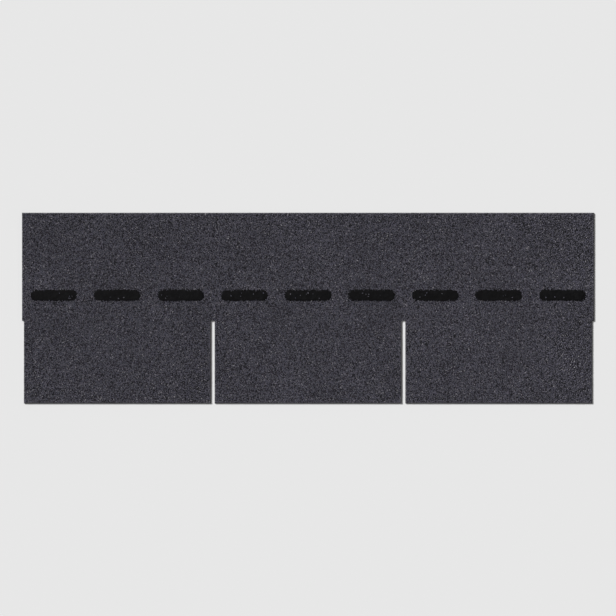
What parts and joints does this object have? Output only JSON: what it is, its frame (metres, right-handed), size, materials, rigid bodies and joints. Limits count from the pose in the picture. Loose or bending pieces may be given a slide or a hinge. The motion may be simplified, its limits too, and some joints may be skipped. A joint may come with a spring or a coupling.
{
  "type": "three-tab asphalt shingle",
  "caption": "Flat asphalt roofing shingle with dark granules, tabs parted by cutouts, sealant dashes above them and a release film on the back.",
  "frame": {"origin": "middle of the underside, halfway between the butt edge and the top edge", "axes": "+X along the strip, -Y towards the tabs and the butt edge, +Y towards the headlap, +Z out of the granule face"},
  "size_m": [0.9144, 0.3048, 0.0035],
  "materials": {
    "granules": "matte",
    "sealant": "satin",
    "film": "gloss"
  },
  "bodies": {
    "root": {"shingle_strip": "granules", "release_film": "film", "sealant_dash_1": "sealant", "sealant_dash_2": "sealant", "sealant_dash_3": "sealant", "sealant_dash_4": "sealant", "sealant_dash_5": "sealant", "sealant_dash_6": "sealant", "sealant_dash_7": "sealant", "sealant_dash_8": "sealant", "sealant_dash_9": "sealant"}
  },
  "joints": []
}
